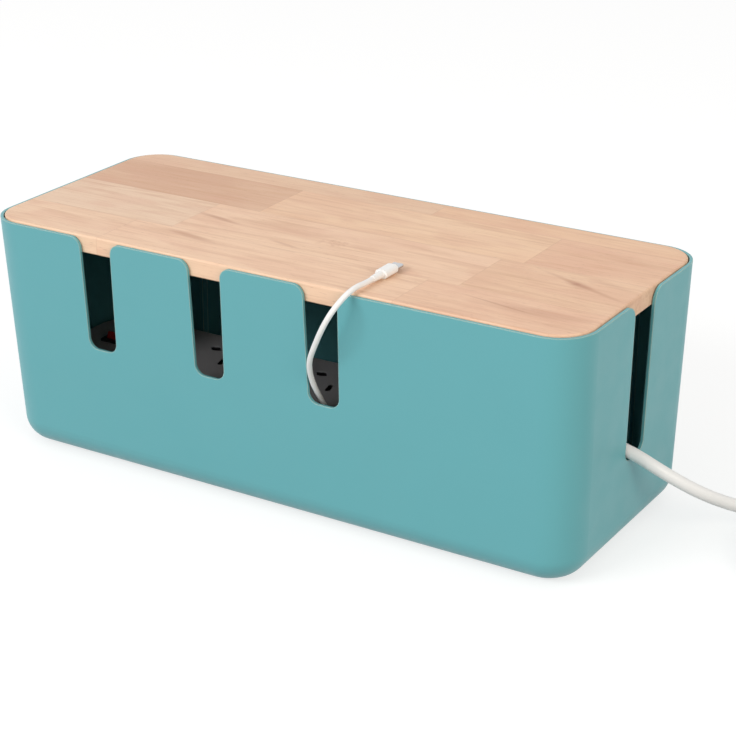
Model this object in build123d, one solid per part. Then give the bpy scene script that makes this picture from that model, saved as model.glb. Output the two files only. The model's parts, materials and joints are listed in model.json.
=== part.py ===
from build123d import *
import os
from math import cos, pi, radians, sin, tan

# A cable management box: a drafted, open-topped housing with cable slots and a drop-in wooden lid,
# the power strip that stands in it, and the cords that leave it.
# X runs along the box, Y from front to back, Z up. The origin is on the surface that the box stands
# on, under its centre. Millimetres and degrees.

# ---------------------------------------------------------------- driving dimensions

# Housing
LENGTH = 401.0  # over the rim
WIDTH = 162.4  # over the rim
HEIGHT = 148.9  # from the housing's underside to its rim
WALL = 1.9
FLOOR = 2.6
DRAFT = 4.5  # how far each wall leans in from the rim to the underside
CORNER_RADIUS = 23.6
BASE_FILLET = 16.8
POST_DEPTH = 5.0  # the upright ribs that the lid sits on
POST_THICKNESS = 2.4
END_POST_Y = 42.0

# Cable slots, open at the rim: a row in the front, and a deeper one in the right-hand end
SLOT_COUNT = 3
SLOT_PITCH = 79.0
FIRST_SLOT_X = -115.1
SLOT_WIDTH = 22.8  # at the rim
SLOT_TAPER = 2.3  # how much narrower it is at its bottom
SLOT_DEPTH = 70.5
SLOT_MOUTH_RADIUS = 7.0
SLOT_CORNER_RADIUS = 6.5
END_SLOT_WIDTH = 25.4
END_SLOT_TAPER = 2.0
END_SLOT_DEPTH = 95.6
END_SLOT_MOUTH_RADIUS = 9.5
END_SLOT_CORNER_RADIUS = 5.5
MOUTH_LIFT = 0.05  # the roundings of a slot's mouth end this far above the rim

# Feet
FOOT_DIAMETER = 12.0
FOOT_STAND = 1.2  # how far a foot stands out of the housing
FOOT_POCKET = 0.8  # how far it is let into the underside
FOOT_GAP = 0.2
FOOT_X = 155.0
FOOT_Y = 42.0

# Lid
LID_THICKNESS = 11.0
LID_RISE = 1.1  # the lid's top stands this far above the rim
LID_GAP = 0.4
LID_EDGE_RADIUS = 1.2
LID_LOWER_EDGE = 0.6

# Power strip
STRIP_LENGTH = 254.0
STRIP_WIDTH = 66.0
STRIP_HEIGHT = 42.0
STRIP_X = -62.0
STRIP_Y = -3.0
STRIP_END_RADIUS = 26.0
STRIP_TOP_RADIUS = 3.0
STRIP_FOOT_RADIUS = 2.0
STRIP_WALL = 2.4
STRIP_SPLIT = 24.0  # height of the lower shell
FLOOR_RIB_HEIGHT = 8.4
FLOOR_RIB_COUNT = 4
FLOOR_RIB_THICKNESS = 2.4
FLOOR_RIB_REACH = 26.0  # half its length, across the box

# Outlets, turned on the strip so that plugs clear each other
OUTLET_COUNT = 5
FIRST_OUTLET_INSET = 57.0  # from the strip's left end
LAST_OUTLET_INSET = 37.0  # from its right end
OUTLET_TURN = -45.0
PIN_SPREAD = 11.0
PIN_OFFSET = 5.0
EARTH_OFFSET = 14.0
PIN_TILT = 30.0
ROUND_HOLE = 6.4
LIVE_SLOT = (9.0, 3.0)
NEUTRAL_SLOT = (10.0, 3.4)
EARTH_SLOT = (8.0, 3.4)

# Bus bars under the outlets
BAR_DEPTH = 16.0  # from the strip's top to the bars
BAR_THICKNESS = 1.0
BAR_WIDTH = 3.0
BAR_OVERHANG = 14.0
LEAF_GAP = 1.5
LEAF_THICKNESS = 0.7
LEAF_LENGTH = 6.0
LEAF_HEIGHT = 7.0
SADDLE_THICKNESS = 2.0
SADDLE_REACH = 16.0

# Screws that close the strip
SCREW_INSET = 34.0
SCREW_Y = 25.0
SCREW_SHANK = 2.6
SCREW_HEAD = 5.6
SCREW_HEAD_HEIGHT = 2.0
SCREW_RECESS = 3.0
SCREW_GRIP = 10.0
SCREW_PLAY = 0.05
BOSS_DIAMETER = 8.0

# Rocker switch
SWITCH_INSET = 28.8
SWITCH_Y = -4.5  # from the strip's centre line
CASE_LENGTH = 20.0  # across the strip
CASE_WIDTH = 14.0
CASE_DEPTH = 12.0
CASE_WALL = 1.5
CASE_GAP = 0.2
FLANGE_LENGTH = 23.0
FLANGE_WIDTH = 17.0
FLANGE_HEIGHT = 1.6
ROCKER_RADIUS = 8.2
ROCKER_WIDTH = 10.4
ROCKER_PLAY = 0.3
ROCKER_FACE = 12.0  # slope of each half of its face
ROCKER_CREST = 2.2  # from the pivot to the fold in its face
ROCKER_KEEL = 4.0  # from the pivot to its underside
PIVOT_HEIGHT = 0.4  # above the strip's top
PIVOT_DIAMETER = 2.4
PIVOT_PLAY = 0.05
PIVOT_REACH = 0.9
TERMINAL_SIZE = (0.8, 4.8, 7.0)
TERMINAL_SPREAD = 5.0

# Wiring inside the strip
WIRE_DIAMETER = 2.2
WIRE_BEND = 4.0
WIRE_LANE_Y = 18.4  # from the strip's centre line
WIRE_LANE_Z = 9.0  # above the strip's underside
JACKET_REACH = 12.0  # cord inside the strip's end
WIRE_SPREAD = 2.3
CLAMP_LENGTH = 6.0
CLAMP_WIDTH = 22.0
CLAMP_THICKNESS = 3.0
CLAMP_SCREW_Y = 7.6
CLAMP_SCREW_DEPTH = 8.0
CLAMP_INSET = 9.0  # from the strip's end to the clamp's middle

# Mains cord and its strain relief
CORD_DIAMETER = 7.5
CORD_PLAY = 0.05
BOOT_NECK = 11.0
BOOT_FLANGE = 15.0
BOOT_FLANGE_THICKNESS = 2.0
BOOT_LENGTH = 36.0
BOOT_ROOT = 13.0
BOOT_TIP = 9.6
BOOT_GROOVES = 5
BOOT_GROOVE_WIDTH = 2.0
BOOT_GROOVE_DEPTH = 1.0
BOOT_PLAY = 0.1

# The route of the cord's free stretches, chosen by hand, from where it lifts off its boot's axis
MAINS_ROUTE = [
    (131.8, -3.2, 40.1),
    (144.7, -3.7, 47.6),
    (160.5, -5.4, 58.1),
    (179.0, -6.5, 62.6),
    (197.9, -6.5, 60.1),
    (218.0, -2.8, 49.5),
    (234.9, 10.6, 35.6),
    (246.0, 35.7, 20.0),
    (256.3, 49.9, 13.6),
    (269.9, 60.2, 8.0),
    (285.5, 66.9, 4.05),
    (301.2, 73.2, 4.05),
]
MAINS_COIL_CENTRE = (321.1, 24.1)
MAINS_COIL_RADII = (35.4, 53.0)
MAINS_COIL_LAYERS = 2
MAINS_COIL_LIFT = 0.3
MAINS_TAIL = [
    (268.6, 31.5, 11.6),
    (270.9, 47.5, 12.4),
    (278.9, 61.6, 14.7),
    (291.4, 71.8, 17.0),
    (306.9, 76.7, 19.3),
    (323.1, 75.6, 21.6),
    (337.7, 68.6, 23.9),
    (348.7, 56.8, 26.6),
    (354.7, 41.7, 28.9),
    (354.7, 25.5, 28.9),
]

# Plug on the mains cord
PLUG_BOOT_LENGTH = 17.0
PLUG_BOOT_ROOT = 12.0
PLUG_BODY_LENGTH = 26.0
PLUG_BACK = 15.0
PLUG_FACE_WIDTH = 30.0
PLUG_FACE_HEIGHT = 26.0
PLUG_FACE_DEPTH = 9.0
PLUG_CORNER = 7.0
PLUG_PIN = (17.0, 6.3, 1.6)
PLUG_EARTH_PIN = (20.0, 6.3, 1.6)
PLUG_PIN_RADIUS = 7.9
PLUG_EARTH_RADIUS = 10.3

# Charging cable
CABLE_DIAMETER = 3.2
TIP_HEIGHT = 2.6  # of the connector's axis above the lid
CABLE_ROUTE = [
    (64.5, -61.0, 153.8),
    (64.5, -68.8, 153.8),
    (64.2, -76.6, 154.4),
    (63.4, -84.2, 153.0),
    (61.3, -91.2, 148.6),
    (57.7, -95.3, 141.6),
    (52.6, -95.7, 132.0),
    (46.5, -93.0, 121.0),
    (40.6, -89.0, 111.0),
    (36.8, -83.5, 100.9),
    (34.6, -76.0, 88.6),
    (35.0, -67.1, 74.5),
    (37.0, -60.0, 58.9),
    (43.0, -56.6, 42.0),
    (53.9, -55.6, 27.1),
    (68.9, -55.6, 15.1),
    (86.1, -56.9, 8.5),
    (103.6, -59.4, 6.0),
    (121.0, -61.1, 5.7),
    (138.0, -61.1, 5.7),
]
CABLE_COIL_CENTRE = (138.0, -38.9)
CABLE_COIL_RADII = (12.9, 22.2)
CABLE_COIL_LAYERS = 2
CABLE_COIL_LIFT = 0.3
CABLE_TAIL = [
    (138.0, -61.1, 8.9),
    (144.0, -61.1, 9.2),
    (149.2, -58.1, 10.2),
    (152.2, -52.9, 11.4),
    (152.2, -46.9, 12.6),
    (149.2, -41.7, 13.8),
    (144.0, -38.7, 14.6),
    (138.0, -38.7, 14.6),
]

# Small connector on the lid
TIP_BOOT_LENGTH = 9.0
TIP_BOOT_ROOT = 4.6
TIP_BODY = (12.0, 7.8, 5.0)
TIP_SHELL = (6.6, 6.7, 1.9)

# Plug on the cable's other end
USB_BOOT_LENGTH = 8.0
USB_BOOT_ROOT = 5.0
USB_BODY = (20.0, 15.4, 8.0)
USB_SHELL = (12.0, 12.0, 4.5)
USB_SHELL_WALL = 0.4
USB_TONGUE_HEIGHT = 1.8

# ---------------------------------------------------------------- places worked out from them

BASE_Z = FOOT_STAND
FLOOR_Z = BASE_Z + FLOOR
RIM_Z = BASE_Z + HEIGHT
LID_TOP = RIM_Z + LID_RISE
LID_BOTTOM = LID_TOP - LID_THICKNESS
STRIP_BOTTOM = FLOOR_Z + FLOOR_RIB_HEIGHT
STRIP_TOP = STRIP_BOTTOM + STRIP_HEIGHT
SPLIT_Z = STRIP_BOTTOM + STRIP_SPLIT
STRIP_LEFT = STRIP_X - STRIP_LENGTH / 2
STRIP_RIGHT = STRIP_X + STRIP_LENGTH / 2
OUTLET_PITCH = (STRIP_LENGTH - FIRST_OUTLET_INSET - LAST_OUTLET_INSET) / (OUTLET_COUNT - 1)
OUTLET_X = [STRIP_LEFT + FIRST_OUTLET_INSET + i * OUTLET_PITCH for i in range(OUTLET_COUNT)]
SWITCH_PLACE = (STRIP_LEFT + SWITCH_INSET, STRIP_Y + SWITCH_Y)
PIVOT_Z = STRIP_TOP + PIVOT_HEIGHT
BAR_TOP = STRIP_TOP - BAR_DEPTH
BAR_BOTTOM = BAR_TOP - BAR_THICKNESS
SCREW_X = [STRIP_LEFT + SCREW_INSET, STRIP_X, STRIP_RIGHT - SCREW_INSET]
CLAMP_X = STRIP_RIGHT - CLAMP_INSET


# ---------------------------------------------------------------- helpers


def box(low, high):
    """A box between two corners."""
    size = [b - a for a, b in zip(low, high)]
    middle = [(a + b) / 2 for a, b in zip(low, high)]
    return Pos(*middle) * Box(*size)


def rod(diameter, start, end):
    """A round rod between two points."""
    a, b = Vector(*start), Vector(*end)
    return extrude(Plane(a, z_dir=b - a) * Circle(diameter / 2), (b - a).length)


def joined(solids):
    """Solids as one shape."""
    first, *others = list(solids)
    return first.fuse(*others) if others else first


def drafted(plane, size, inset, lift):
    """A long bar whose section is the housing seen from one side."""
    low, high = BASE_Z + lift, RIM_Z
    half_low = size / 2 - inset - DRAFT * (1 - lift / HEIGHT)
    half_high = size / 2 - inset
    outline = Polyline((-half_low, low), (half_low, low), (half_high, high), (-half_high, high), close=True)
    return extrude(plane * make_face(outline), LENGTH, both=True)


def tub(inset, lift):
    """The housing's outer body, moved in by inset, its underside raised by lift."""
    body = drafted(Plane.XZ, LENGTH, inset, lift) & drafted(Plane.YZ, WIDTH, inset, lift)
    upright = body.edges().filter_by(lambda edge: edge.bounding_box().size.Z > HEIGHT / 2)
    body = fillet(upright, CORNER_RADIUS - inset)
    return fillet(body.faces().sort_by(Axis.Z)[0].edges(), BASE_FILLET - inset)


def slot_face(width, taper, depth, mouth, corner):
    """A slot's outline, X across and Y up from the rim, with a strip above the rim."""
    top, bottom, reach = width / 2, (width - taper) / 2, width / 2 + 2 * mouth
    above = 2 * mouth
    outline = Polyline(
        (-reach, above),
        (-reach, MOUTH_LIFT),
        (-top, MOUTH_LIFT),
        (-bottom, -depth),
        (bottom, -depth),
        (top, MOUTH_LIFT),
        (reach, MOUTH_LIFT),
        (reach, above),
        close=True,
    )
    face = make_face(outline)
    mouth_corners = face.vertices().filter_by(lambda v: abs(v.Y) < mouth / 2 and abs(v.X) < reach - 1)
    face = fillet(mouth_corners, mouth)
    low_corners = face.vertices().filter_by(lambda v: v.Y < -depth + 0.01)
    return fillet(low_corners, corner)


def cord_path(points, limit=None):
    """Straight runs joined by the largest tangent arcs that they allow, and the arcs' radii."""
    radii = []
    for a, b, c in zip(points, points[1:], points[2:]):
        before, after = Vector(*b) - Vector(*a), Vector(*c) - Vector(*b)
        half_turn = radians(before.get_angle(after) / 2)
        radius = 0.45 * min(before.length, after.length) / tan(half_turn)
        radii.append(min(radius, limit) if limit else radius)
    return FilletPolyline(*points, radius=radii), radii


def tube(name, points, diameter, limit=None):
    """A round cord along a route."""
    path, radii = cord_path(points, limit)
    start = Plane(origin=path @ 0, z_dir=path % 0)
    solid = sweep(start * Circle(diameter / 2), path=path)
    plain = pi * (diameter / 2) ** 2 * path.length
    print(
        f"{name}: length {path.length:.1f}, smallest radius {min(radii):.1f},"
        f" volume over section times length {solid.volume / plain:.5f}"
    )
    return solid


def coil(centre, radii, diameter, layers, lift, floor):
    """The outer shape of a round coil."""
    outer, inner = radii[1] + diameter / 2, radii[0] - diameter / 2
    height = layers * diameter
    ring = Cylinder(outer, height) - Cylinder(inner, height)
    ring = fillet(ring.edges().filter_by(GeomType.CIRCLE), 0.4 * diameter)
    return Pos(centre[0], centre[1], floor + lift + height / 2) * ring


def boot(start, direction, length, root, tip):
    """A tapered boot that starts at a point and runs along a direction."""
    return Plane(start, z_dir=direction) * Pos(0, 0, length / 2) * Cone(root / 2, tip / 2, length)


# ---------------------------------------------------------------- housing, feet and lid


def slot_centres():
    return [FIRST_SLOT_X + i * SLOT_PITCH for i in range(SLOT_COUNT)]


def posts():
    """Upright ribs from the floor to the lid's underside, between the slots and in the ends."""
    band = tub(WALL / 2, FLOOR / 2) - tub(WALL + POST_DEPTH, FLOOR + POST_DEPTH)
    far, foot_y = WIDTH, WIDTH / 2 - DRAFT - BASE_FILLET
    half = POST_THICKNESS / 2
    blades = []
    for i in range(SLOT_COUNT + 2):
        x = FIRST_SLOT_X + (i - 0.5) * SLOT_PITCH
        for side in (-1, 1):
            low, high = sorted((side * foot_y, side * far))
            blades.append(box((x - half, low, BASE_Z), (x + half, high, LID_BOTTOM)))
    foot_x = LENGTH / 2 - DRAFT - BASE_FILLET
    for side in (-1, 1):
        low, high = sorted((side * foot_x, side * LENGTH))
        for y in (-END_POST_Y, END_POST_Y):
            blades.append(box((low, y - half, BASE_Z), (high, y + half, LID_BOTTOM)))
    return [blade & band for blade in blades]


def floor_ribs():
    """Low ribs that hold the power strip off the floor."""
    half = FLOOR_RIB_THICKNESS / 2
    gap = (STRIP_LENGTH - 2 * STRIP_END_RADIUS) / (FLOOR_RIB_COUNT - 1)
    ribs = []
    for i in range(FLOOR_RIB_COUNT):
        x = STRIP_LEFT + STRIP_END_RADIUS + i * gap
        low = (x - half, STRIP_Y - FLOOR_RIB_REACH, BASE_Z + FLOOR / 2)
        high = (x + half, STRIP_Y + FLOOR_RIB_REACH, STRIP_BOTTOM)
        ribs.append(box(low, high))
    return ribs


def foot_places():
    return [(x, y) for x in (-FOOT_X, FOOT_X) for y in (-FOOT_Y, FOOT_Y)]


def housing():
    shell = tub(0, 0) - tub(WALL, FLOOR)
    wall_reach = DRAFT + WALL + 2
    front = slot_face(SLOT_WIDTH, SLOT_TAPER, SLOT_DEPTH, SLOT_MOUTH_RADIUS, SLOT_CORNER_RADIUS)
    for x in slot_centres():
        plane = Plane((x, -WIDTH / 2 + DRAFT + WALL, RIM_Z), x_dir=(1, 0, 0), z_dir=(0, -1, 0))
        shell -= extrude(plane * front, wall_reach)
    end = slot_face(
        END_SLOT_WIDTH, END_SLOT_TAPER, END_SLOT_DEPTH, END_SLOT_MOUTH_RADIUS, END_SLOT_CORNER_RADIUS
    )
    plane = Plane((LENGTH / 2 - DRAFT - WALL, 0, RIM_Z), x_dir=(0, 1, 0), z_dir=(1, 0, 0))
    shell -= extrude(plane * end, wall_reach)
    shell = joined([shell, *posts(), *floor_ribs()])
    for x, y in foot_places():
        pocket = Cylinder(FOOT_DIAMETER / 2 + FOOT_GAP, 2 * FOOT_POCKET)
        shell -= Pos(x, y, BASE_Z) * pocket
    return shell


def foot_pads():
    height = FOOT_STAND + FOOT_POCKET
    pad = Cylinder(FOOT_DIAMETER / 2, height)
    pad = fillet(pad.edges().sort_by(Axis.Z)[0], 0.5)
    return Compound(children=[Pos(x, y, height / 2) * pad for x, y in foot_places()])


def lid_panel():
    share = (LID_BOTTOM - BASE_Z) / HEIGHT
    inset = DRAFT * (1 - share) + WALL + LID_GAP
    outline = RectangleRounded(LENGTH - 2 * inset, WIDTH - 2 * inset, CORNER_RADIUS - WALL - LID_GAP)
    panel = extrude(Pos(0, 0, LID_BOTTOM) * outline, LID_THICKNESS)
    panel = fillet(panel.faces().sort_by(Axis.Z)[-1].edges(), LID_EDGE_RADIUS)
    return chamfer(panel.faces().sort_by(Axis.Z)[0].edges(), LID_LOWER_EDGE)


# ---------------------------------------------------------------- power strip


def strip_outline(inset):
    return RectangleRounded(STRIP_LENGTH - 2 * inset, STRIP_WIDTH - 2 * inset, STRIP_END_RADIUS - inset)


def strip_block(low, high, inset=0.0):
    return extrude(Pos(STRIP_X, STRIP_Y, low) * strip_outline(inset), high - low)


def outlet_point(x, u, v):
    """A point of an outlet at x, u along its pair of pins and v away from its earth hole."""
    turn = radians(OUTLET_TURN)
    return (x + u * cos(turn) - v * sin(turn), STRIP_Y + u * sin(turn) + v * cos(turn))


LIVE = (-PIN_SPREAD, PIN_OFFSET, OUTLET_TURN + PIN_TILT)
NEUTRAL = (PIN_SPREAD, PIN_OFFSET, OUTLET_TURN - PIN_TILT)
EARTH = (0.0, -EARTH_OFFSET, OUTLET_TURN + 90)


def outlet_holes(x):
    """The three holes of one outlet, as solids that pass through the cover's top."""
    holes = []
    for (u, v, angle), (length, width) in (
        (LIVE, LIVE_SLOT),
        (NEUTRAL, NEUTRAL_SLOT),
        (EARTH, EARTH_SLOT),
    ):
        px, py = outlet_point(x, u, v)
        face = SlotOverall(length, width, rotation=angle)
        holes.append(extrude(Pos(px, py, STRIP_TOP - 2 * STRIP_WALL) * face, 3 * STRIP_WALL))
    px, py = outlet_point(x, LIVE[0], LIVE[1])
    round_hole = Cylinder(ROUND_HOLE / 2, 3 * STRIP_WALL)
    holes.append(Pos(px, py, STRIP_TOP - STRIP_WALL / 2) * round_hole)
    return holes


def screw_places():
    return [(x, STRIP_Y + side * SCREW_Y) for x in SCREW_X for side in (-1, 1)]


def cord_hole(diameter):
    """A bore through the strip's right end, half in each shell."""
    start = (STRIP_RIGHT - 2 * STRIP_WALL, STRIP_Y, SPLIT_Z)
    end = (STRIP_RIGHT + STRIP_WALL, STRIP_Y, SPLIT_Z)
    return rod(diameter, start, end)


def strip_cover():
    shell = fillet(strip_block(SPLIT_Z, STRIP_TOP).faces().sort_by(Axis.Z)[-1].edges(), STRIP_TOP_RADIUS)
    shell -= strip_block(SPLIT_Z, STRIP_TOP - STRIP_WALL, STRIP_WALL)
    column = STRIP_TOP - STRIP_WALL / 2 - SPLIT_Z
    for x, y in screw_places():
        shell += Pos(x, y, SPLIT_Z + column / 2) * Cylinder(BOSS_DIAMETER / 2, column)
        depth = SCREW_GRIP + 1
        pilot = Cylinder(SCREW_SHANK / 2 + SCREW_PLAY, depth)
        shell -= Pos(x, y, SPLIT_Z + depth / 2) * pilot
    for x in OUTLET_X:
        for hole in outlet_holes(x):
            shell -= hole
    cutout = Box(CASE_WIDTH + 2 * CASE_GAP, CASE_LENGTH + 2 * CASE_GAP, 4 * STRIP_WALL)
    shell -= Pos(*SWITCH_PLACE, STRIP_TOP) * cutout
    return shell - cord_hole(BOOT_NECK + 2 * BOOT_PLAY)


def saddles():
    """Cross walls that carry the bus bars."""
    places = [x + OUTLET_PITCH / 2 for x in OUTLET_X[:-1]]
    places += [OUTLET_X[0] - BAR_OVERHANG + SADDLE_THICKNESS, OUTLET_X[-1] + BAR_OVERHANG - SADDLE_THICKNESS]
    half = SADDLE_THICKNESS / 2
    walls = []
    for x in places:
        low = (x - half, STRIP_Y - SADDLE_REACH, STRIP_BOTTOM + STRIP_WALL / 2)
        high = (x + half, STRIP_Y + SADDLE_REACH, BAR_BOTTOM)
        walls.append(box(low, high))
    return walls


def strip_base():
    shell = fillet(strip_block(STRIP_BOTTOM, SPLIT_Z).faces().sort_by(Axis.Z)[0].edges(), STRIP_FOOT_RADIUS)
    shell -= strip_block(STRIP_BOTTOM + STRIP_WALL, SPLIT_Z, STRIP_WALL)
    for x, y in screw_places():
        height = SPLIT_Z - STRIP_BOTTOM - STRIP_WALL / 2
        shell += Pos(x, y, SPLIT_Z - height / 2) * Cylinder(BOSS_DIAMETER / 2, height)
    shell = joined([shell, *saddles(), clamp_pad()])
    for x, y in screw_places():
        bore = Cylinder(SCREW_SHANK / 2 + 6 * SCREW_PLAY, STRIP_SPLIT)
        shell -= Pos(x, y, STRIP_BOTTOM + STRIP_SPLIT / 2) * bore
        recess = Cylinder(SCREW_HEAD / 2 + 6 * SCREW_PLAY, SCREW_RECESS)
        shell -= Pos(x, y, STRIP_BOTTOM + SCREW_RECESS / 2) * recess
    return shell - cord_hole(BOOT_NECK + 2 * BOOT_PLAY)


def strip_screws():
    head_z = STRIP_BOTTOM + SCREW_RECESS
    screws = []
    for x, y in screw_places():
        shank = rod(SCREW_SHANK, (x, y, head_z), (x, y, SPLIT_Z + SCREW_GRIP))
        head = rod(SCREW_HEAD, (x, y, head_z - SCREW_HEAD_HEIGHT), (x, y, head_z))
        slot = box(
            (x - SCREW_HEAD, y - 0.4, head_z - SCREW_HEAD_HEIGHT), (x + SCREW_HEAD, y + 0.4, head_z - 1.2)
        )
        screws.append(shank + head - slot)
    return Compound(children=screws)


def bus_bar(u, v, angle):
    """One bar with a pair of leaves under each of its holes."""
    low_x = OUTLET_X[0] - BAR_OVERHANG
    high_x = OUTLET_X[-1] + BAR_OVERHANG
    y = outlet_point(0, u, v)[1]
    bar = box((low_x, y - BAR_WIDTH / 2, BAR_BOTTOM), (high_x, y + BAR_WIDTH / 2, BAR_TOP))
    leaves = []
    apart = (LEAF_GAP + LEAF_THICKNESS) / 2
    for x in OUTLET_X:
        px, py = outlet_point(x, u, v)
        for side in (-1, 1):
            leaf = Pos(0, side * apart, 0) * Box(LEAF_LENGTH, LEAF_THICKNESS, LEAF_HEIGHT + BAR_THICKNESS)
            middle = BAR_TOP + (LEAF_HEIGHT - BAR_THICKNESS) / 2
            leaves.append(Pos(px, py, middle) * Rot(0, 0, angle) * leaf)
    return joined([bar, *leaves])


def switch_frame():
    x, y = SWITCH_PLACE
    flange = Box(FLANGE_WIDTH, FLANGE_LENGTH, FLANGE_HEIGHT)
    flange = fillet(flange.edges().filter_by(Axis.Z), 1.5)
    flange = chamfer(flange.faces().sort_by(Axis.Z)[-1].edges(), 0.5)
    body = Pos(x, y, STRIP_TOP + FLANGE_HEIGHT / 2) * flange
    body += Pos(x, y, STRIP_TOP - CASE_DEPTH / 2) * Box(CASE_WIDTH, CASE_LENGTH, CASE_DEPTH)
    window_width = ROCKER_WIDTH + 2 * ROCKER_PLAY
    window_length = 2 * (ROCKER_RADIUS + ROCKER_PLAY)
    floor = STRIP_TOP - CASE_DEPTH + CASE_WALL
    body -= box(
        (x - window_width / 2, y - window_length / 2, floor),
        (x + window_width / 2, y + window_length / 2, STRIP_TOP + 2 * FLANGE_HEIGHT),
    )
    pin_hole = rod(
        PIVOT_DIAMETER + 2 * PIVOT_PLAY,
        (x - ROCKER_WIDTH / 2 - PIVOT_REACH - ROCKER_PLAY, y, PIVOT_Z),
        (x + ROCKER_WIDTH / 2 + PIVOT_REACH + ROCKER_PLAY, y, PIVOT_Z),
    )
    return body - pin_hole


def switch_rocker():
    """The rocker with its far half pressed down. Its pivot pins run along X."""
    wedge = tan(radians(ROCKER_FACE)) * 2 * ROCKER_RADIUS
    far = 2 * ROCKER_RADIUS
    face = Polyline(
        (-far, ROCKER_CREST + wedge), (0, ROCKER_CREST), (far, ROCKER_CREST + wedge), (far, -ROCKER_KEEL),
        (-far, -ROCKER_KEEL), close=True,
    )
    profile = make_face(face) & Circle(ROCKER_RADIUS)
    body = extrude(Plane.YZ * profile, ROCKER_WIDTH / 2, both=True)
    reach = ROCKER_WIDTH / 2 + PIVOT_REACH
    body += rod(PIVOT_DIAMETER, (-reach, 0, 0), (reach, 0, 0))
    return Pos(*SWITCH_PLACE, PIVOT_Z) * Rot(-ROCKER_FACE, 0, 0) * body


def terminal_places():
    x, y = SWITCH_PLACE
    return [(x, y - TERMINAL_SPREAD), (x, y + TERMINAL_SPREAD)]


def switch_terminals():
    depth = TERMINAL_SIZE[2]
    z = STRIP_TOP - CASE_DEPTH - depth / 2
    return Compound(children=[Pos(x, y, z) * Box(*TERMINAL_SIZE) for x, y in terminal_places()])


# ---------------------------------------------------------------- wiring and cord clamp


def clamp_pad():
    """The block that the cord lies on where it is clamped."""
    half = CLAMP_LENGTH / 2
    pad = box(
        (CLAMP_X - half, STRIP_Y - CLAMP_WIDTH / 2, STRIP_BOTTOM + STRIP_WALL / 2),
        (CLAMP_X + half, STRIP_Y + CLAMP_WIDTH / 2, SPLIT_Z),
    )
    pad -= clamp_bore()
    for y in clamp_screw_ys():
        hole_end = (CLAMP_X, y, SPLIT_Z - CLAMP_SCREW_DEPTH - 1)
        pad -= rod(SCREW_SHANK + 2 * SCREW_PLAY, hole_end, (CLAMP_X, y, SPLIT_Z))
    return pad


def clamp_bore():
    """The cord's room between the pad and the bridge."""
    ends = [(CLAMP_X + side * CLAMP_LENGTH / 2, STRIP_Y, SPLIT_Z) for side in (-1, 1)]
    return rod(CORD_DIAMETER + 2 * CORD_PLAY, *ends)


def clamp_screw_ys():
    return (STRIP_Y - CLAMP_SCREW_Y, STRIP_Y + CLAMP_SCREW_Y)


def cord_clamp():
    """A bridge over the cord, screwed to the pad."""
    half = CLAMP_LENGTH / 2
    rise = CORD_DIAMETER / 2 + CLAMP_THICKNESS
    bar = box(
        (CLAMP_X - half, STRIP_Y - CLAMP_WIDTH / 2, SPLIT_Z),
        (CLAMP_X + half, STRIP_Y + CLAMP_WIDTH / 2, SPLIT_Z + CLAMP_THICKNESS),
    )
    hump_half = CORD_DIAMETER / 2 + CLAMP_THICKNESS / 2
    bar += box(
        (CLAMP_X - half, STRIP_Y - hump_half, SPLIT_Z), (CLAMP_X + half, STRIP_Y + hump_half, SPLIT_Z + rise)
    )
    bar -= clamp_bore()
    for y in clamp_screw_ys():
        top = (CLAMP_X, y, SPLIT_Z + CLAMP_THICKNESS)
        bar -= rod(SCREW_SHANK + 2 * SCREW_PLAY, (CLAMP_X, y, SPLIT_Z), top)
    return bar


def clamp_screws():
    screws = []
    for y in clamp_screw_ys():
        top = SPLIT_Z + CLAMP_THICKNESS
        shank = rod(SCREW_SHANK, (CLAMP_X, y, SPLIT_Z - CLAMP_SCREW_DEPTH), (CLAMP_X, y, top))
        screws.append(shank + rod(0.8 * SCREW_HEAD, (CLAMP_X, y, top), (CLAMP_X, y, top + SCREW_HEAD_HEIGHT)))
    return Compound(children=screws)


def boot_end():
    """Where the free cord starts."""
    return STRIP_RIGHT + BOOT_FLANGE_THICKNESS + BOOT_LENGTH


def mains_route():
    """The cord from its boot to its coil, straight out of the boot at first."""
    lift_off = (boot_end() + MAINS_ROUTE[0][0]) / 2
    return [(boot_end(), STRIP_Y, SPLIT_Z), (lift_off, STRIP_Y, SPLIT_Z), *MAINS_ROUTE]


def cord_jacket():
    """The cord inside the strip's end and its boot."""
    return rod(CORD_DIAMETER, (STRIP_RIGHT - JACKET_REACH, STRIP_Y, SPLIT_Z), (boot_end(), STRIP_Y, SPLIT_Z))


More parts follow.
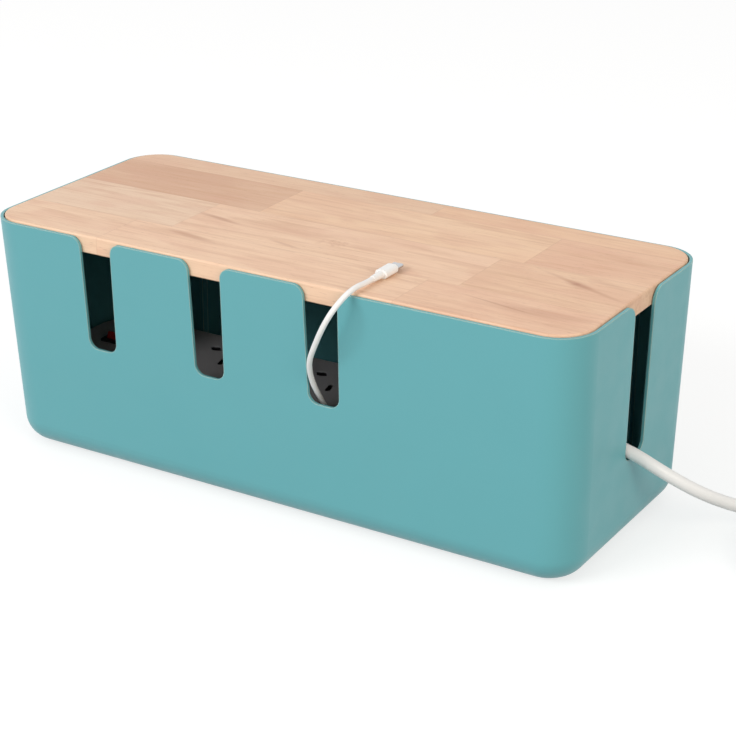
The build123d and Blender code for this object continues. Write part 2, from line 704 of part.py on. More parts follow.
def cord_boot():
    """A grooved, tapered strain relief that grips the strip's end wall between two flanges."""
    inner = STRIP_RIGHT - STRIP_WALL
    outer = STRIP_RIGHT + BOOT_FLANGE_THICKNESS
    relief = rod(BOOT_NECK, (inner, STRIP_Y, SPLIT_Z), (outer, STRIP_Y, SPLIT_Z))
    relief += rod(BOOT_FLANGE, (inner - BOOT_FLANGE_THICKNESS, STRIP_Y, SPLIT_Z), (inner, STRIP_Y, SPLIT_Z))
    relief += rod(BOOT_FLANGE, (STRIP_RIGHT, STRIP_Y, SPLIT_Z), (outer, STRIP_Y, SPLIT_Z))
    relief += boot((outer, STRIP_Y, SPLIT_Z), (1, 0, 0), BOOT_LENGTH, BOOT_ROOT, BOOT_TIP)
    gap = BOOT_LENGTH / (BOOT_GROOVES + 1)
    for i in range(BOOT_GROOVES):
        x = outer + (i + 1) * gap
        radius = (BOOT_ROOT + (BOOT_TIP - BOOT_ROOT) * (i + 1) / (BOOT_GROOVES + 1)) / 2
        ring = Cylinder(radius + 1, BOOT_GROOVE_WIDTH)
        ring -= Cylinder(radius - BOOT_GROOVE_DEPTH, BOOT_GROOVE_WIDTH)
        relief -= Pos(x, STRIP_Y, SPLIT_Z) * Rot(0, 90, 0) * ring
    ends = (inner - BOOT_FLANGE_THICKNESS - 1, STRIP_Y, SPLIT_Z), (boot_end() + 1, STRIP_Y, SPLIT_Z)
    return relief - rod(CORD_DIAMETER + 2 * CORD_PLAY, *ends)


def wires():
    """The leads: into the switch, from the switch to the live bar, and to the other two bars."""
    start_x = STRIP_RIGHT - JACKET_REACH
    lane_y, lane_z = STRIP_Y + WIRE_LANE_Y, STRIP_BOTTOM + WIRE_LANE_Z
    bar_z = (BAR_TOP + BAR_BOTTOM) / 2
    bar_right, bar_left = OUTLET_X[-1] + BAR_OVERHANG, OUTLET_X[0] - BAR_OVERHANG
    live_y, neutral_y, earth_y = [outlet_point(0, *hole[:2])[1] for hole in (LIVE, NEUTRAL, EARTH)]
    (in_x, in_y), (out_x, out_y) = terminal_places()
    tab_z = STRIP_TOP - CASE_DEPTH - TERMINAL_SIZE[2]
    spread = WIRE_SPREAD / 2
    return {
        "live_wire": [
            (start_x, STRIP_Y + spread, SPLIT_Z + spread),
            (start_x - 4, STRIP_Y + spread, SPLIT_Z + spread),
            (start_x - 6, STRIP_Y + WIRE_LANE_Y / 2, lane_z + 10),
            (start_x - 9, lane_y, lane_z + 2),
            (start_x - 20, lane_y, lane_z),
            (in_x + 16, lane_y, lane_z),
            (in_x, in_y, lane_z),
            (in_x, in_y, tab_z),
        ],
        "switched_live_wire": [
            (out_x, out_y, tab_z),
            (out_x, out_y, tab_z - 8),
            (bar_left - 9, live_y, tab_z - 8),
            (bar_left - 9, live_y, bar_z),
            (bar_left, live_y, bar_z),
        ],
        "neutral_wire": [
            (start_x, STRIP_Y - spread, SPLIT_Z + spread),
            (start_x - 4, STRIP_Y - spread, SPLIT_Z + spread),
            (bar_right + 3.5, neutral_y, bar_z),
            (bar_right, neutral_y, bar_z),
        ],
        "earth_wire": [
            (start_x, STRIP_Y - spread, SPLIT_Z - spread),
            (start_x - 3.5, STRIP_Y - spread, SPLIT_Z - spread),
            (start_x - 6, earth_y + WIRE_SPREAD, SPLIT_Z - WIRE_SPREAD),
            (bar_right + 3.5, earth_y, bar_z),
            (bar_right, earth_y, bar_z),
        ],
    }


# ---------------------------------------------------------------- mains cord's plug


def plug_point(offset, across=0.0, up=0.0):
    """A point on the plug, offset along it from the cord's end. The plug points along -Y."""
    x, y, z = MAINS_TAIL[-1]
    return (x + across, y - offset, z + up)


def plug_boot():
    return boot(plug_point(0), (0, -1, 0), PLUG_BOOT_LENGTH, CORD_DIAMETER + 0.8, PLUG_BOOT_ROOT)


def plug_body():
    """A moulded body that widens from the boot to the face that holds the pins."""
    back = PLUG_BOOT_LENGTH
    front = back + PLUG_BODY_LENGTH
    shoulder = front - PLUG_FACE_DEPTH
    planes = [Plane(plug_point(at), x_dir=(1, 0, 0), z_dir=(0, -1, 0)) for at in (back, shoulder)]
    neck = planes[0] * RectangleRounded(PLUG_BACK, PLUG_BACK, PLUG_CORNER)
    face = planes[1] * RectangleRounded(PLUG_FACE_WIDTH, PLUG_FACE_HEIGHT, PLUG_CORNER)
    body = loft([neck, face], ruled=True) + extrude(face, PLUG_FACE_DEPTH)
    return fillet(body.faces().sort_by(Axis.Y)[0].edges(), 1.5)


def plug_pins():
    """Two slanted pins and a longer earth pin."""
    front = PLUG_BOOT_LENGTH + PLUG_BODY_LENGTH
    pins = []
    for size, radius, angle, lean in (
        (PLUG_PIN, PLUG_PIN_RADIUS, 30, -30),
        (PLUG_PIN, PLUG_PIN_RADIUS, 150, 30),
        (PLUG_EARTH_PIN, PLUG_EARTH_RADIUS, 270, 0),
    ):
        across, up = radius * cos(radians(angle)), radius * sin(radians(angle))
        pin = Box(size[2], size[0], size[1])
        pin = chamfer(pin.faces().sort_by(Axis.Y)[0].edges(), 0.4)
        middle = plug_point(front + size[0] / 2, across, up)
        pins.append(Pos(*middle) * Rot(0, lean, 0) * pin)
    return Compound(children=pins)


# ---------------------------------------------------------------- charging cable's ends


def tip_point(y_offset):
    x, y, _ = CABLE_ROUTE[0]
    return (x, y + y_offset, LID_TOP + TIP_HEIGHT)


def tip_boot():
    return boot(tip_point(0), (0, 1, 0), TIP_BOOT_LENGTH, CABLE_DIAMETER + 0.6, TIP_BOOT_ROOT)


def tip_body():
    length, width, height = TIP_BODY
    middle = tip_point(TIP_BOOT_LENGTH + length / 2)
    body = Box(width, length, height)
    body = fillet(body.edges().filter_by(Axis.Y), 0.45 * height)
    return Pos(*middle) * body


def tip_shell():
    length, width, height = TIP_SHELL
    middle = tip_point(TIP_BOOT_LENGTH + TIP_BODY[0] + length / 2)
    shell = Box(width, length, height)
    shell = fillet(shell.edges().filter_by(Axis.Y), 0.45 * height)
    return Pos(*middle) * shell


def usb_x(offset):
    return CABLE_TAIL[-1][0] - offset


def usb_boot():
    return boot(CABLE_TAIL[-1], (-1, 0, 0), USB_BOOT_LENGTH, CABLE_DIAMETER + 0.6, USB_BOOT_ROOT)


def usb_body():
    length, width, height = USB_BODY
    body = fillet(Box(length, width, height).edges().filter_by(Axis.X), 0.3 * height)
    _, y, z = CABLE_TAIL[-1]
    return Pos(usb_x(USB_BOOT_LENGTH + length / 2), y, z) * body


def usb_shell():
    """The metal shell, with the tongue that carries the contacts."""
    length, width, height = USB_SHELL
    wall = USB_SHELL_WALL
    shell = Box(length, width, height)
    shell -= Pos(-wall, 0, 0) * Box(length, width - 2 * wall, height - 2 * wall)
    tongue = Pos(wall / 2, 0, (height - USB_TONGUE_HEIGHT) / 2 - wall) * (
        Box(length - wall, width - 2 * wall, USB_TONGUE_HEIGHT)
    )
    _, y, z = CABLE_TAIL[-1]
    return Pos(usb_x(USB_BOOT_LENGTH + USB_BODY[0] + length / 2), y, z) * (shell + tongue)


# ---------------------------------------------------------------- every piece


def pieces():
    wiring = {name: tube(name, route, WIRE_DIAMETER, WIRE_BEND) for name, route in wires().items()}
    return {
        "housing": housing(),
        "foot_pads": foot_pads(),
        "lid_panel": lid_panel(),
        "strip_cover": strip_cover(),
        "strip_base": strip_base(),
        "strip_screws": strip_screws(),
        "live_bar": bus_bar(*LIVE),
        "neutral_bar": bus_bar(*NEUTRAL),
        "earth_bar": bus_bar(*EARTH),
        "switch_frame": switch_frame(),
        "switch_rocker": switch_rocker(),
        "switch_terminals": switch_terminals(),
        **wiring,
        "cord_clamp": cord_clamp(),
        "clamp_screws": clamp_screws(),
        "cord_jacket": cord_jacket(),
        "cord_boot": cord_boot(),
        "mains_cord": tube("mains_cord", mains_route(), CORD_DIAMETER),
        "mains_cord_coil": coil(
            MAINS_COIL_CENTRE, MAINS_COIL_RADII, CORD_DIAMETER, MAINS_COIL_LAYERS, MAINS_COIL_LIFT, 0
        ),
        "mains_cord_end": tube("mains_cord_end", MAINS_TAIL, CORD_DIAMETER),
        "plug_boot": plug_boot(),
        "plug_body": plug_body(),
        "plug_pins": plug_pins(),
        "charging_cable": tube("charging_cable", CABLE_ROUTE, CABLE_DIAMETER),
        "charging_cable_coil": coil(
            CABLE_COIL_CENTRE, CABLE_COIL_RADII, CABLE_DIAMETER, CABLE_COIL_LAYERS, CABLE_COIL_LIFT, FLOOR_Z
        ),
        "charging_cable_end": tube("charging_cable_end", CABLE_TAIL, CABLE_DIAMETER),
        "tip_boot": tip_boot(),
        "tip_body": tip_body(),
        "tip_shell": tip_shell(),
        "usb_boot": usb_boot(),
        "usb_body": usb_body(),
        "usb_shell": usb_shell(),
    }


os.makedirs("parts", exist_ok=True)
for name, shape in pieces().items():
    shape.label = name
    export_step(shape, f"parts/{name}.step")
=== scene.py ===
import json
import math

import bpy
from mathutils import Matrix, Vector


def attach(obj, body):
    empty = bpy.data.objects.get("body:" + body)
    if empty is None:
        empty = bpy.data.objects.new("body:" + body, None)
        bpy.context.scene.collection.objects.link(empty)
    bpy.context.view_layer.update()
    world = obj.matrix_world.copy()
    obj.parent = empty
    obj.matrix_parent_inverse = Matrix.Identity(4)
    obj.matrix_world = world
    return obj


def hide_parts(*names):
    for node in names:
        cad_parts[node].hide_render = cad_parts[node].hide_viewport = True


# Dresses the cable management box: its cords, its materials, and the studio that it stands in.
# Lengths are in metres, but for the cords' thicknesses, routes and coils, which are in millimetres.

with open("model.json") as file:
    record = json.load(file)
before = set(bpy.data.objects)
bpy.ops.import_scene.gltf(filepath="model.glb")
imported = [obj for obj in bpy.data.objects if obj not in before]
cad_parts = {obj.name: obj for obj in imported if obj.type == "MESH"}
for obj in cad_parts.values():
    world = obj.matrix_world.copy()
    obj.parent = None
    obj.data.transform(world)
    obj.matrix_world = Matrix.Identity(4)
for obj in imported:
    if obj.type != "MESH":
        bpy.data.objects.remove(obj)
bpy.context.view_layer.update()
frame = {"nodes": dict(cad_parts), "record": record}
nodes = frame["nodes"]
scene = bpy.context.scene
scene.view_settings.view_transform = "Standard"
MM = 0.001

# ---------------------------------------------------------------- camera

CAMERA_PLACE = Vector((0.60041, -0.91648, 0.52935))
CAMERA_RIGHT = Vector((0.84798, 0.52995, -0.00921)).normalized()
CAMERA_FORWARD = Vector((-0.49091, 0.77873, -0.39062)).normalized()
CAMERA_LENS = 96.07
CAMERA_SENSOR = 36.0
CAMERA_SIGHT = 100.0


def add_camera():
    data = bpy.data.cameras.new("camera")
    data.sensor_width = CAMERA_SENSOR
    data.lens = CAMERA_LENS
    data.clip_end = CAMERA_SIGHT
    camera = bpy.data.objects.new("camera", data)
    scene.collection.objects.link(camera)
    up = CAMERA_RIGHT.cross(CAMERA_FORWARD)
    camera.matrix_world = Matrix.Translation(CAMERA_PLACE) @ (
        Matrix((CAMERA_RIGHT, up, -CAMERA_FORWARD)).transposed().to_4x4()
    )
    scene.camera = camera


add_camera()

# ---------------------------------------------------------------- cords

MAINS_DIAMETER = 7.5
MAINS_ROUTE = [
    (103.0, -3.0, 36.2),
    (117.4, -3.0, 36.2),
    (131.8, -3.2, 40.1),
    (144.7, -3.7, 47.6),
    (160.5, -5.4, 58.1),
    (179.0, -6.5, 62.6),
    (197.9, -6.5, 60.1),
    (218.0, -2.8, 49.5),
    (234.9, 10.6, 35.6),
    (246.0, 35.7, 20.0),
    (256.3, 49.9, 13.6),
    (269.9, 60.2, 8.0),
    (285.5, 66.9, 4.05),
]
MAINS_COIL = {"centre": (321.1, 24.1), "radii": (35.4, 53.0), "z": 4.05}
MAINS_WINDING = {"start": 112, "sense": -1, "wind": 834, "rise": 72}
MAINS_TAIL = [
    (270.9, 47.5, 12.4),
    (278.9, 61.6, 14.7),
    (291.4, 71.8, 17.0),
    (306.9, 76.7, 19.3),
    (323.1, 75.6, 21.6),
    (337.7, 68.6, 23.9),
    (348.7, 56.8, 26.6),
    (354.7, 41.7, 28.9),
    (354.7, 25.5, 28.9),
]
CABLE_DIAMETER = 3.2
CABLE_ROUTE = [
    (64.5, -61.0, 153.8),
    (64.5, -68.8, 153.8),
    (64.2, -76.6, 154.4),
    (63.4, -84.2, 153.0),
    (61.3, -91.2, 148.6),
    (57.7, -95.3, 141.6),
    (52.6, -95.7, 132.0),
    (46.5, -93.0, 121.0),
    (40.6, -89.0, 111.0),
    (36.8, -83.5, 100.9),
    (34.6, -76.0, 88.6),
    (35.0, -67.1, 74.5),
    (37.0, -60.0, 58.9),
    (43.0, -56.6, 42.0),
    (53.9, -55.6, 27.1),
    (68.9, -55.6, 15.1),
    (86.1, -56.9, 8.5),
    (103.6, -59.4, 6.0),
    (121.0, -61.1, 5.7),
]
CABLE_COIL = {"centre": (138.0, -38.9), "radii": (12.9, 22.2), "z": 5.7}
CABLE_WINDING = {"start": -90, "sense": 1, "wind": 1045, "rise": 70}
CABLE_TAIL = [
    (144.0, -61.1, 9.2),
    (149.2, -58.1, 10.2),
    (152.2, -52.9, 11.4),
    (152.2, -46.9, 12.6),
    (149.2, -41.7, 13.8),
    (144.0, -38.7, 14.6),
    (138.0, -38.7, 14.6),
]
COIL_POINTS = 16  # for each turn
CORD_ROUNDNESS = 6
CORD_STEPS = 10


def coil_turns(diameter, centre, radii, z, start, sense, wind, rise):
    """A flat coil of two layers: it winds inwards, rises by its diameter and winds back outwards.

    start is the angle where it begins, sense is 1 for anticlockwise, wind is how far each layer turns
    and rise is how far it turns while it rises, all in degrees."""
    inner, outer = radii
    total = 2 * wind + rise
    steps = round(total * COIL_POINTS / 360)
    swell = 1 / math.cos(math.radians(total / steps / 2))
    points = []
    for i in range(steps + 1):
        turned = total * i / steps
        side = min(turned, total - turned)
        radius = outer - (outer - inner) * min(side / wind, 1)
        lift = diameter * min(max((turned - wind) / rise, 0), 1)
        angle = math.radians(start + sense * turned)
        x = centre[0] + swell * radius * math.cos(angle)
        y = centre[1] + swell * radius * math.sin(angle)
        points.append((x, y, z + lift))
    return points


def add_cord(name, points, diameter, body):
    """A round cord of one smooth curve, on a body of the part."""
    curve = bpy.data.curves.new(name, "CURVE")
    curve.dimensions = "3D"
    curve.bevel_depth = 1.0  # times each point's radius
    curve.bevel_resolution = CORD_ROUNDNESS
    curve.resolution_u = CORD_STEPS
    curve.use_fill_caps = True
    spline = curve.splines.new("NURBS")
    spline.points.add(len(points) - 1)
    for control, place in zip(spline.points, points):
        control.co = (*[MM * value for value in place], 1)
        control.radius = MM * diameter / 2
    spline.order_u = 3
    spline.use_endpoint_u = True
    spline.use_smooth = True
    cord = bpy.data.objects.new(name, curve)
    scene.collection.objects.link(cord)
    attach(cord, body)
    return cord


mains_coil = coil_turns(MAINS_DIAMETER, **MAINS_COIL, **MAINS_WINDING)
mains_lead = add_cord("mains_lead", MAINS_ROUTE + mains_coil + MAINS_TAIL, MAINS_DIAMETER, "box")
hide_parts("mains_cord", "mains_cord_coil", "mains_cord_end")

cable_coil = coil_turns(CABLE_DIAMETER, **CABLE_COIL, **CABLE_WINDING)
charging_lead = add_cord("charging_lead", CABLE_ROUTE + cable_coil + CABLE_TAIL, CABLE_DIAMETER, "lid")
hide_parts("charging_cable", "charging_cable_coil", "charging_cable_end")

# ---------------------------------------------------------------- materials


def linear(red, green, blue):
    """A colour written as 0 to 255 sRGB, as the shader wants it."""
    return (*[((value / 255 + 0.055) / 1.055) ** 2.4 for value in (red, green, blue)], 1)


BEVEL_SAMPLES = 4


class Finish:
    """A material's node tree around its shader."""

    def __init__(self, name):
        self.material = bpy.data.materials.new(name)
        self.material.use_nodes = True
        self.tree = self.material.node_tree
        self.shader = self.tree.nodes["Principled BSDF"]
        self.place = self.add("ShaderNodeTexCoord").outputs["Object"]

    def feed(self, socket, value):
        if isinstance(value, bpy.types.NodeSocket):
            self.tree.links.new(value, socket)
        else:
            socket.default_value = value

    def add(self, kind, settings=None, **inputs):
        node = self.tree.nodes.new(kind)
        for key, value in (settings or {}).items():
            setattr(node, key, value)
        for key, value in inputs.items():
            self.feed(node.inputs[key], value)
        return node

    def math(self, operation, *values):
        node = self.add("ShaderNodeMath", {"operation": operation})
        for socket, value in zip(node.inputs, values):
            self.feed(socket, value)
        return node.outputs[0]

    def vector(self, operation, *values):
        node = self.add("ShaderNodeVectorMath", {"operation": operation})
        for socket, value in zip(node.inputs, values):
            self.feed(socket, value)
        return node.outputs

    def noise(self, scale, detail=2.0, distortion=0.0, number=0.0):
        """Noise from 0 to 1. scale is how many cells there are in a metre, along each axis or alike."""
        place = self.place
        if isinstance(scale, tuple):
            place, scale = self.vector("MULTIPLY", place, scale)["Vector"], 1.0
        return self.add(
            "ShaderNodeTexNoise",
            {"noise_dimensions": "4D"},
            Vector=place,
            W=number,
            Scale=scale,
            Detail=detail,
            Distortion=distortion,
        ).outputs["Fac"]

    def between(self, value, low, high, start=0.0, end=1.0):
        """value's range from low to high, as start to end."""
        node = self.add("ShaderNodeMapRange", {"interpolation_type": "SMOOTHSTEP"})
        names = ("Value", "From Min", "From Max", "To Min", "To Max")
        for name, number in zip(names, (value, low, high, start, end)):
            self.feed(node.inputs[name], number)
        return node.outputs["Result"]

    def choose(self, switch, off, on):
        """off where switch is 0 and on where it is 1."""
        step = self.math("MULTIPLY", switch, self.math("SUBTRACT", on, off))
        return self.math("ADD", off, step)

    def line(self, value, at, width):
        """1 where value is at a place, falling to 0 at half a width from it."""
        return self.between(self.math("ABSOLUTE", self.math("SUBTRACT", value, at)), width / 2, 0.0)

    def patch(self, centre, reach, turn):
        """1 in the middle of an upright elliptic column, falling to 0 at its surface."""
        node = self.add("ShaderNodeMapping", {"vector_type": "TEXTURE"}, Vector=self.place)
        node.inputs["Location"].default_value = (*centre, 0)
        node.inputs["Rotation"].default_value = (0, 0, math.radians(turn))
        node.inputs["Scale"].default_value = (*reach, 1)
        return self.between(self.vector("LENGTH", node.outputs[0])["Value"], 1.0, 0.2)

    def mix(self, factor, a, b):
        """Colour a where factor is 0 and colour b where it is 1."""
        node = self.add("ShaderNodeMix", {"data_type": "RGBA"})
        self.feed(node.inputs["Factor"], factor)
        self.feed(node.inputs[6], a)
        self.feed(node.inputs[7], b)
        return node.outputs[2]

    def rounded(self, radius):
        """The surface's direction, with its edges rounded."""
        return self.add("ShaderNodeBevel", {"samples": BEVEL_SAMPLES}, Radius=radius).outputs["Normal"]

    def bump(self, height, distance, normal):
        node = self.add("ShaderNodeBump", Height=height, Distance=distance, Strength=1.0, Normal=normal)
        return node.outputs["Normal"]

    def set(self, colour, **sockets):
        self.feed(self.shader.inputs["Base Color"], colour)
        for name, value in sockets.items():
            self.feed(self.shader.inputs[name], value)


CLOUD_SCALE = 25.0
SHEEN_SCALE = 60.0
SHEEN_SPREAD = 0.04
# The colour of a painted highlight on rounded edges, standing in for the light that they catch.
EDGE_HIGHLIGHT_COLOUR = linear(204, 216, 196)


def moulded(
    name, colour, roughness, grain=1400.0, depth=0.00003, mottle=0.03, metallic=0.0, edge=0.0003, edge_highlight=0.0
):
    """Moulded plastic or plain metal, with a fine texture and a colour and sheen that vary a little.

    edge is the radius of its edges, and rub is how strongly a painted highlight lightens them."""
    finish = Finish(name)
    dark = (*[value * (1 - mottle) for value in colour[:3]], 1)
    light = (*[min(value * (1 + mottle), 1) for value in colour[:3]], 1)
    shade = finish.mix(finish.noise(CLOUD_SCALE, detail=3.0), dark, light)
    rounded = finish.rounded(edge)
    # Painted highlight: the rounded edges are mixed towards a pale colour, the more so the more they turn.
    if edge_highlight:
        flat = finish.add("ShaderNodeNewGeometry").outputs["Normal"]
        level = finish.vector("DOT_PRODUCT", rounded, flat)["Value"]
        shade = finish.mix(finish.between(level, 0.995, 0.90, 0.0, edge_highlight), shade, EDGE_HIGHLIGHT_COLOUR)
    sheen = finish.noise(SHEEN_SCALE, detail=4.0)
    finish.set(
        shade,
        Roughness=finish.between(sheen, 0.3, 0.7, roughness - SHEEN_SPREAD, roughness + SHEEN_SPREAD),
        Metallic=metallic,
        Normal=finish.bump(finish.noise(grain), depth, rounded),
    )
    return finish


# Painted light: this grey is lighter than the strip's real dark grey, standing in for light that barely
# reaches it through the slots.
STRIP_COLOUR = linear(166, 164, 167)
# Painted shade: the holes' walls and the strip's hollow inside are coloured near black.
HOLE_PAINTED_SHADE = linear(14, 14, 15)
STRIP_TOP = 0.0542
STRIP_HOLES = ((-0.172, 0.048), (-0.030, 0.024))  # along and across, inside the strip's walls
HOLE_EDGE = 0.0004  # how far below its top the painted shade in the holes begins


def strip_plastic():
    """The strip's textured grey plastic, with painted shade inside its holes and its hollow body."""
    finish = moulded("dark_grey_plastic", STRIP_COLOUR, 0.5, grain=2200.0, depth=0.00005)
    x, y, z = finish.add("ShaderNodeSeparateXYZ", Vector=finish.place).outputs
    inside = finish.math("LESS_THAN", z, STRIP_TOP - HOLE_EDGE)
    for value, (low, high) in zip((x, y), STRIP_HOLES):
        inside = finish.math("MULTIPLY", inside, finish.math("GREATER_THAN", value, low))
        inside = finish.math("MULTIPLY", inside, finish.math("LESS_THAN", value, high))
    # Paints the shade below the strip's top, within the area of its holes.
    plain = finish.shader.inputs["Base Color"].links[0].from_socket
    finish.set(finish.mix(inside, plain, HOLE_PAINTED_SHADE))
    return finish


LID_EDGE = 0.0008
GLUE_WIDTH = 0.0007
STAVE_EDGES = (-0.0395, 0.0100, 0.0580)  # across the lid, from the front
STAVE_BUTTS = (  # along each row of staves
    (-0.1155, 0.0875),
    (-0.0900, 0.1065),
    (-0.0605, 0.1205),
    (0.0325,),
)
# Each stave's own tone. In the three rows from the front, the rightmost stave is also darker and more
# orange: painted shade for the light falling off to the right.
STAVE_TONES_AND_SHADE = (
    ((238, 202, 172), (238, 200, 170), (232, 190, 160)),
    ((232, 200, 173), (237, 199, 169), (230, 190, 158)),
    ((211, 166, 136), (236, 197, 163), (228, 184, 153)),
    ((226, 188, 158), (232, 190, 156)),
)
GRAIN_MARKS = (  # where, half its length and width, its turn, and how much it darkens
    ((0.1657, -0.0064), (0.0440, 0.0028), -21.4, 0.42),
    ((0.1625, -0.0055), (0.0130, 0.0058), -18.0, 0.48),
    ((0.1610, -0.0050), (0.0040, 0.0026), 0.0, 0.45),
    ((0.1780, 0.0030), (0.0240, 0.0040), -14.0, 0.22),
    ((-0.0748, -0.0124), (0.0230, 0.0032), -11.8, 0.50),
    ((-0.0134, -0.0316), (0.0180, 0.0022), -11.0, 0.35),
    ((-0.0702, -0.0472), (0.0260, 0.0042), -9.5, 0.45),
    ((0.1378, -0.0533), (0.0330, 0.0013), -9.7, 0.45),
    ((0.1600, -0.0540), (0.0460, 0.0080), 2.0, 0.34),
)
MARK_COLOUR = linear(178, 124, 98)
GLUE_COLOUR = linear(150, 104, 74)
GLUE_SHARE = 0.22
CURL_PLACE = ((0.0090, -0.0160), (0.024, 0.016), 20.0)


def staves(finish):
    """Each stave's number, and 1 on the glue lines between them."""
    x, y, _ = finish.add("ShaderNodeSeparateXYZ", Vector=finish.place).outputs
    stave, first, glue = 0.0, 0, 0.0
    for row, butts in enumerate(STAVE_BUTTS):
        number, seam = first, 0.0
        for butt in butts:
            number = finish.math("ADD", number, finish.math("GREATER_THAN", x, butt))
            seam = finish.math("MAXIMUM", seam, finish.line(x, butt, GLUE_WIDTH))
        if row == 0:
            stave, glue = number, seam
        else:
            above = finish.math("GREATER_THAN", y, STAVE_EDGES[row - 1])
            stave = finish.choose(above, stave, number)
            glue = finish.choose(above, glue, seam)
            glue = finish.math("MAXIMUM", glue, finish.line(y, STAVE_EDGES[row - 1], GLUE_WIDTH))
        first += len(butts) + 1
    return stave, glue


def stave_tone_and_shade(finish, stave):
    colours = [colour for row in STAVE_TONES_AND_SHADE for colour in row]
    ramp = finish.add("ShaderNodeValToRGB")
    ramp.color_ramp.interpolation = "CONSTANT"
    stops = ramp.color_ramp.elements
    while len(stops) < len(colours):
        stops.new(0.99)
    for i, colour in enumerate(colours):
        stops[i].position = max((i - 0.5) / len(colours), 0)
        stops[i].color = linear(*colour)
    finish.feed(ramp.inputs[0], finish.math("DIVIDE", stave, len(colours)))
    return ramp.outputs[0]


def wood():
    """Butcher block: staves along X, each with its own colour and grain, glued edge to edge; the rightmost
    staves' colours also hold painted shade.
    """
    finish = Finish("oiled_rubberwood")
    stave, glue = staves(finish)
    seed = finish.math("MULTIPLY", stave, 7.3)
    other_seed = finish.math("ADD", seed, 2.1)
    cloud = finish.noise((9.0, 40.0, 40.0), detail=3.0, distortion=1.2, number=seed)
    blush = finish.noise((18.0, 42.0, 42.0), detail=2.0, distortion=1.0, number=other_seed)
    figure = finish.noise((9.0, 120.0, 120.0), detail=4.0, distortion=1.8, number=seed)
    fibre = finish.noise((30.0, 1300.0, 1300.0), detail=3.0, number=seed)
    pores = finish.noise((210.0, 2600.0, 2600.0), detail=1.0, number=seed)
    curl = finish.noise((60.0, 90.0, 90.0), detail=3.0, distortion=3.5, number=3.1)
    curly = finish.math("MULTIPLY", finish.patch(*CURL_PLACE), curl)

    def tinted(colour, pattern, low, high, share, tint):
        """colour, with a share of a tint that grows with a pattern from low to high."""
        return finish.mix(finish.between(pattern, low, high, 0.0, share), colour, linear(*tint))

    colour = stave_tone_and_shade(finish, stave)
    colour = tinted(colour, cloud, 0.30, 0.70, 0.30, (242, 210, 178))
    colour = tinted(colour, blush, 0.44, 0.66, 0.30, (216, 164, 138))
    colour = tinted(colour, figure, 0.42, 0.75, 0.50, (204, 156, 124))
    for centre, reach, turn, share in GRAIN_MARKS:
        mark = finish.math("MULTIPLY", finish.patch(centre, reach, turn), share)
        colour = finish.mix(mark, colour, MARK_COLOUR)
    colour = tinted(colour, curly, 0.40, 0.62, 0.50, (196, 146, 116))
    colour = tinted(colour, fibre, 0.45, 0.75, 0.20, (190, 142, 108))
    colour = tinted(colour, pores, 0.64, 0.76, 0.34, (142, 98, 70))
    colour = finish.mix(finish.math("MULTIPLY", glue, GLUE_SHARE), colour, GLUE_COLOUR)
    finish.set(
        colour,
        Roughness=finish.between(fibre, 0.3, 0.8, 0.44, 0.58),
        Normal=finish.bump(fibre, 0.00004, finish.rounded(LID_EDGE)),
    )
    return finish


FINISHES = {
    # The shell's rounded edges get a painted highlight.
    "shell": moulded("satin_teal_plastic", linear(96, 167, 174), 0.40, edge=0.0009, mottle=0.02, edge_highlight=0.65),
    "foot_rubber": moulded("soft_rubber", linear(62, 62, 64), 0.8),
    "lid_wood": wood(),
    "strip_plastic": strip_plastic(),
    "screw_steel": moulded("zinc_plated_steel", linear(190, 190, 194), 0.3, metallic=1.0),
    "contact_brass": moulded("brass", linear(182, 148, 80), 0.45, metallic=1.0),
    "switch_black": moulded("black_plastic", linear(30, 30, 31), 0.4),
    "switch_red": moulded("red_plastic", linear(196, 34, 28), 0.25),
    "wire_brown": moulded("brown_insulation", linear(96, 58, 38), 0.45),
    "wire_blue": moulded("blue_insulation", linear(40, 84, 160), 0.45),
    "wire_green": moulded("green_insulation", linear(60, 140, 60), 0.45),
    "cord_white": moulded("soft_white_cord", linear(240, 239, 238), 0.42, grain=900.0),
    "plug_white": moulded("white_plug_plastic", linear(241, 240, 239), 0.35),
    "pin_metal": moulded("nickel_plated_pins", linear(205, 203, 198), 0.22, metallic=1.0),
    "shell_metal": moulded("connector_shell_metal", linear(200, 202, 205), 0.2, metallic=1.0),
}

for part in frame["record"]["subparts"]:
    mesh = nodes[part["node"]].data
    mesh.materials.clear()
    mesh.materials.append(FINISHES[part["material_slot"]].material)

for lead in (mains_lead, charging_lead):
    lead.data.materials.append(FINISHES["cord_white"].material)

# ---------------------------------------------------------------- floor and light


def seen_directly(tree):
    """1 for what the camera, a reflection or a refraction sees, and 0 for light that falls on things."""
    path = tree.nodes.new("ShaderNodeLightPath")
    total = path.outputs["Is Camera Ray"]
    for name in ("Is Glossy Ray", "Is Transmission Ray"):
        add = tree.nodes.new("ShaderNodeMath")
        add.operation = "MAXIMUM"
        tree.links.new(total, add.inputs[0])
        tree.links.new(path.outputs[name], add.inputs[1])
        total = add.outputs[0]
    return total


FLOOR_REACH = 12.0
FLOOR_SHADE = 0.42
FLOOR_GLOW = 0.66  # how white it looks of itself; it lights nothing


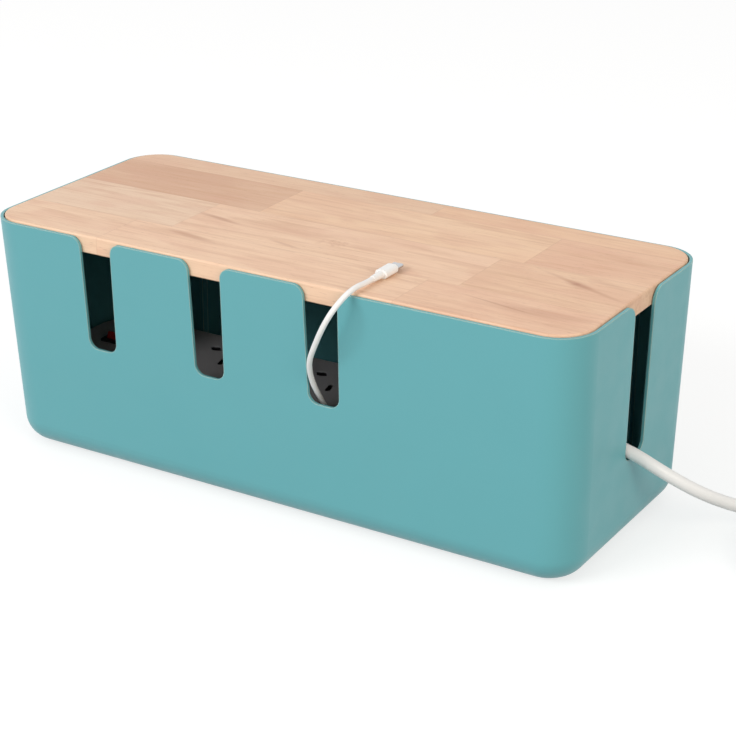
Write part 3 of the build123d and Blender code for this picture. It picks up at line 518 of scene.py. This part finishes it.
def add_floor():
    mesh = bpy.data.meshes.new("floor")
    corners = [(FLOOR_REACH * x, FLOOR_REACH * y, 0) for x, y in ((-1, -1), (1, -1), (1, 1), (-1, 1))]
    mesh.from_pydata(corners, [], [(0, 1, 2, 3)])
    floor = bpy.data.objects.new("floor", mesh)
    scene.collection.objects.link(floor)
    material = bpy.data.materials.new("floor")
    material.use_nodes = True
    tree = material.node_tree
    shader = tree.nodes["Principled BSDF"]
    shader.inputs["Base Color"].default_value = (FLOOR_SHADE, FLOOR_SHADE, FLOOR_SHADE, 1)
    shader.inputs["Roughness"].default_value = 0.9
    shader.inputs["Specular IOR Level"].default_value = 0.0
    shader.inputs["Emission Color"].default_value = (1, 1, 1, 1)
    lift = tree.nodes.new("ShaderNodeMath")
    lift.operation = "MULTIPLY"
    lift.inputs[1].default_value = FLOOR_GLOW
    tree.links.new(seen_directly(tree), lift.inputs[0])
    tree.links.new(lift.outputs[0], shader.inputs["Emission Strength"])
    mesh.materials.append(material)


AMBIENT = 0.60  # the sky's light on things; it looks white where it is seen


def add_world():
    world = bpy.data.worlds.new("studio")
    scene.world = world
    world.use_nodes = True
    tree = world.node_tree
    background = tree.nodes["Background"]
    background.inputs["Color"].default_value = (1, 1, 1, 1)
    strength = tree.nodes.new("ShaderNodeMapRange")
    tree.links.new(seen_directly(tree), strength.inputs["Value"])
    strength.inputs["To Min"].default_value = AMBIENT
    strength.inputs["To Max"].default_value = 1.0
    tree.links.new(strength.outputs["Result"], background.inputs["Strength"])


LAMP_TARGET = (0, 0, 0.08)


def add_lamp(name, place, size, power, colour):
    data = bpy.data.lights.new(name, "AREA")
    data.shape = "RECTANGLE"
    data.size, data.size_y = size
    data.energy = power
    data.color = colour
    lamp = bpy.data.objects.new(name, data)
    scene.collection.objects.link(lamp)
    lamp.location = place
    lamp.rotation_euler = (Vector(LAMP_TARGET) - Vector(place)).to_track_quat("-Z", "Y").to_euler()


add_floor()
add_world()
add_lamp("key", (-1.24, -2.78, 1.80), size=(2.1, 0.8), power=64, colour=(1, 1, 1))
add_lamp("fill", (1.80, -0.84, 1.00), size=(1.2, 0.8), power=15.5, colour=(1.0, 0.93, 0.80))
